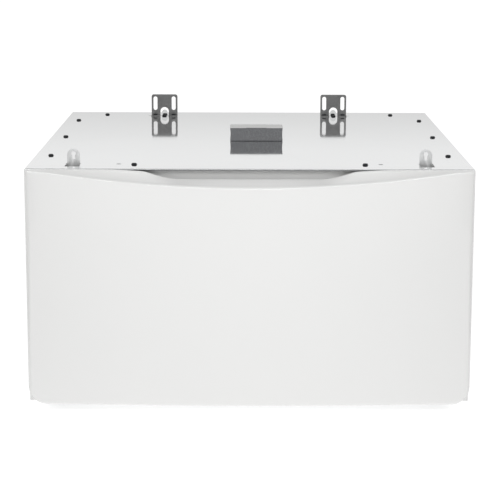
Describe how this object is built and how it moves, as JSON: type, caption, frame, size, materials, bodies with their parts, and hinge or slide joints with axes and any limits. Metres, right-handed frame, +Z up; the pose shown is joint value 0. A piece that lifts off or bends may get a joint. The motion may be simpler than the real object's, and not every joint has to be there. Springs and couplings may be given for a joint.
{
  "type": "washer pedestal drawer",
  "caption": "Laundry pedestal: a sheet-steel cabinet on adjustable legs, with washer fixings on its bright top and a full-width drawer with a bowed, scooped front.",
  "frame": {"origin": "on the floor, under the middle of the whole outline with the drawer shut", "axes": "+Z up, -Y towards the person who opens the drawer, +X to that person's right"},
  "size_m": [0.686, 0.72, 0.422],
  "materials": {
    "bright_sheet": "mirror-bright zinc-coated sheet",
    "white_enamel": "glossy white enamel on steel sheet",
    "galvanised_sheet": "plain galvanised sheet, faint spangle",
    "zinc_plate": "bright zinc-plated steel",
    "dark_steel": "dark grey coated steel",
    "black_screw": "black-oxide steel",
    "grey_foam": "closed-cell foam",
    "black_rubber": "moulded rubber",
    "black_plastic": "moulded acetal",
    "bearing_steel": "polished balls in a steel strip"
  },
  "bodies": {
    "cabinet": {"top_panel": "bright_sheet", "side_panel_left": "white_enamel", "side_panel_right": "white_enamel", "back_panel": "galvanised_sheet", "front_rail_upper": "white_enamel", "front_rail_lower": "galvanised_sheet", "leg_plate_front_left": "galvanised_sheet", "leg_plate_front_right": "galvanised_sheet", "leg_plate_rear_left": "galvanised_sheet", "leg_plate_rear_right": "galvanised_sheet", "slide_carrier_left": "galvanised_sheet", "slide_carrier_right": "galvanised_sheet", "front_lug_left": "zinc_plate", "front_lug_right": "zinc_plate", "rear_bracket_left": "dark_steel", "rear_bracket_right": "dark_steel", "foam_block": "grey_foam", "top_panel_screws": "black_screw", "rear_bracket_screws": "black_screw", "back_panel_screws": "zinc_plate", "drawer_buffers": "black_rubber", "slide_outer_left": "zinc_plate", "slide_outer_right": "zinc_plate", "slide_outer_rivets": "zinc_plate"},
    "leg_foot_front_left_body": {"leg_foot_front_left": "black_rubber"},
    "leg_stem_front_left_body": {"leg_stem_front_left": "zinc_plate"},
    "lock_nut_front_left_body": {"lock_nut_front_left": "zinc_plate"},
    "leg_foot_front_right_body": {"leg_foot_front_right": "black_rubber"},
    "leg_stem_front_right_body": {"leg_stem_front_right": "zinc_plate"},
    "lock_nut_front_right_body": {"lock_nut_front_right": "zinc_plate"},
    "leg_foot_rear_left_body": {"leg_foot_rear_left": "black_rubber"},
    "leg_stem_rear_left_body": {"leg_stem_rear_left": "zinc_plate"},
    "lock_nut_rear_left_body": {"lock_nut_rear_left": "zinc_plate"},
    "leg_foot_rear_right_body": {"leg_foot_rear_right": "black_rubber"},
    "leg_stem_rear_right_body": {"leg_stem_rear_right": "zinc_plate"},
    "lock_nut_rear_right_body": {"lock_nut_rear_right": "zinc_plate"},
    "slide_middle_left_body": {"slide_middle_left": "zinc_plate"},
    "ball_cage_outer_left_body": {"ball_cage_outer_left": "bearing_steel"},
    "ball_cage_inner_left_body": {"ball_cage_inner_left": "bearing_steel"},
    "slide_middle_right_body": {"slide_middle_right": "zinc_plate"},
    "ball_cage_outer_right_body": {"ball_cage_outer_right": "bearing_steel"},
    "ball_cage_inner_right_body": {"ball_cage_inner_right": "bearing_steel"},
    "drawer": {"drawer_front_skin": "white_enamel", "drawer_front_liner": "galvanised_sheet", "drawer_front_screws": "zinc_plate", "drawer_side_left": "white_enamel", "drawer_side_right": "white_enamel", "drawer_back": "white_enamel", "drawer_bottom": "white_enamel", "drawer_corner_rivets": "zinc_plate", "slide_inner_left": "zinc_plate", "slide_inner_right": "zinc_plate", "slide_inner_screws": "zinc_plate"},
    "release_lever_left_body": {"release_lever_left": "black_plastic"},
    "release_lever_right_body": {"release_lever_right": "black_plastic"}
  },
  "joints": [
    {"name": "drawer_slide", "type": "slide", "parent": "cabinet", "child": "drawer", "axis": [0, -1, 0], "range_m": [0, 0.46]},
    {"name": "slide_middle_left_slide", "type": "slide", "parent": "cabinet", "child": "slide_middle_left_body", "axis": [0, -1, 0], "range_m": [0, 0.23]},
    {"name": "ball_cage_outer_left_slide", "type": "slide", "parent": "cabinet", "child": "ball_cage_outer_left_body", "axis": [0, -1, 0], "range_m": [0, 0.115]},
    {"name": "ball_cage_inner_left_slide", "type": "slide", "parent": "cabinet", "child": "ball_cage_inner_left_body", "axis": [0, -1, 0], "range_m": [0, 0.345]},
    {"name": "slide_middle_right_slide", "type": "slide", "parent": "cabinet", "child": "slide_middle_right_body", "axis": [0, -1, 0], "range_m": [0, 0.23]},
    {"name": "ball_cage_outer_right_slide", "type": "slide", "parent": "cabinet", "child": "ball_cage_outer_right_body", "axis": [0, -1, 0], "range_m": [0, 0.115]},
    {"name": "ball_cage_inner_right_slide", "type": "slide", "parent": "cabinet", "child": "ball_cage_inner_right_body", "axis": [0, -1, 0], "range_m": [0, 0.345]},
    {"name": "release_lever_left_pivot", "type": "hinge", "parent": "drawer", "child": "release_lever_left_body", "pos_m": [-0.3122, -0.028, 0.17], "axis": [-1, 0, 0], "range_deg": [0, 5], "stiffness_Nm_per_rad": 0.2, "springref_deg": -2.86},
    {"name": "release_lever_right_pivot", "type": "hinge", "parent": "drawer", "child": "release_lever_right_body", "pos_m": [0.3122, -0.028, 0.17], "axis": [1, 0, 0], "range_deg": [0, 5], "stiffness_Nm_per_rad": 0.2, "springref_deg": -2.86},
    {"name": "leg_height_front_left", "type": "slide", "parent": "cabinet", "child": "leg_foot_front_left_body", "axis": [0, 0, -1], "range_m": [0, 0.018]},
    {"name": "leg_turn_front_left", "type": "hinge", "parent": "leg_foot_front_left_body", "child": "leg_stem_front_left_body", "pos_m": [-0.301, -0.286, 0.0173], "axis": [0, 0, -1], "range_deg": [0, 4081.89]},
    {"name": "lock_nut_turn_front_left", "type": "hinge", "parent": "cabinet", "child": "lock_nut_front_left_body", "pos_m": [-0.301, -0.286, 0.0173], "axis": [0, 0, -1], "range_deg": [0, 360]},
    {"name": "leg_height_front_right", "type": "slide", "parent": "cabinet", "child": "leg_foot_front_right_body", "axis": [0, 0, -1], "range_m": [0, 0.018]},
    {"name": "leg_turn_front_right", "type": "hinge", "parent": "leg_foot_front_right_body", "child": "leg_stem_front_right_body", "pos_m": [0.301, -0.286, 0.0173], "axis": [0, 0, -1], "range_deg": [0, 4081.89]},
    {"name": "lock_nut_turn_front_right", "type": "hinge", "parent": "cabinet", "child": "lock_nut_front_right_body", "pos_m": [0.301, -0.286, 0.0173], "axis": [0, 0, -1], "range_deg": [0, 360]},
    {"name": "leg_height_rear_left", "type": "slide", "parent": "cabinet", "child": "leg_foot_rear_left_body", "axis": [0, 0, -1], "range_m": [0, 0.018]},
    {"name": "leg_turn_rear_left", "type": "hinge", "parent": "leg_foot_rear_left_body", "child": "leg_stem_rear_left_body", "pos_m": [-0.301, 0.312, 0.0173], "axis": [0, 0, -1], "range_deg": [0, 4081.89]},
    {"name": "lock_nut_turn_rear_left", "type": "hinge", "parent": "cabinet", "child": "lock_nut_rear_left_body", "pos_m": [-0.301, 0.312, 0.0173], "axis": [0, 0, -1], "range_deg": [0, 360]},
    {"name": "leg_height_rear_right", "type": "slide", "parent": "cabinet", "child": "leg_foot_rear_right_body", "axis": [0, 0, -1], "range_m": [0, 0.018]},
    {"name": "leg_turn_rear_right", "type": "hinge", "parent": "leg_foot_rear_right_body", "child": "leg_stem_rear_right_body", "pos_m": [0.301, 0.312, 0.0173], "axis": [0, 0, -1], "range_deg": [0, 4081.89]},
    {"name": "lock_nut_turn_rear_right", "type": "hinge", "parent": "cabinet", "child": "lock_nut_rear_right_body", "pos_m": [0.301, 0.312, 0.0173], "axis": [0, 0, -1], "range_deg": [0, 360]}
  ],
  "couplings": [
    {"joint": "slide_middle_left_slide", "follows": "drawer_slide", "ratio": 0.5},
    {"joint": "ball_cage_outer_left_slide", "follows": "drawer_slide", "ratio": 0.25},
    {"joint": "ball_cage_inner_left_slide", "follows": "drawer_slide", "ratio": 0.75},
    {"joint": "slide_middle_right_slide", "follows": "drawer_slide", "ratio": 0.5},
    {"joint": "ball_cage_outer_right_slide", "follows": "drawer_slide", "ratio": 0.25},
    {"joint": "ball_cage_inner_right_slide", "follows": "drawer_slide", "ratio": 0.75},
    {"joint": "leg_turn_front_left", "follows": "leg_height_front_left", "rad_per_m": 3957.9},
    {"joint": "leg_turn_front_right", "follows": "leg_height_front_right", "rad_per_m": 3957.9},
    {"joint": "leg_turn_rear_left", "follows": "leg_height_rear_left", "rad_per_m": 3957.9},
    {"joint": "leg_turn_rear_right", "follows": "leg_height_rear_right", "rad_per_m": 3957.9}
  ]
}
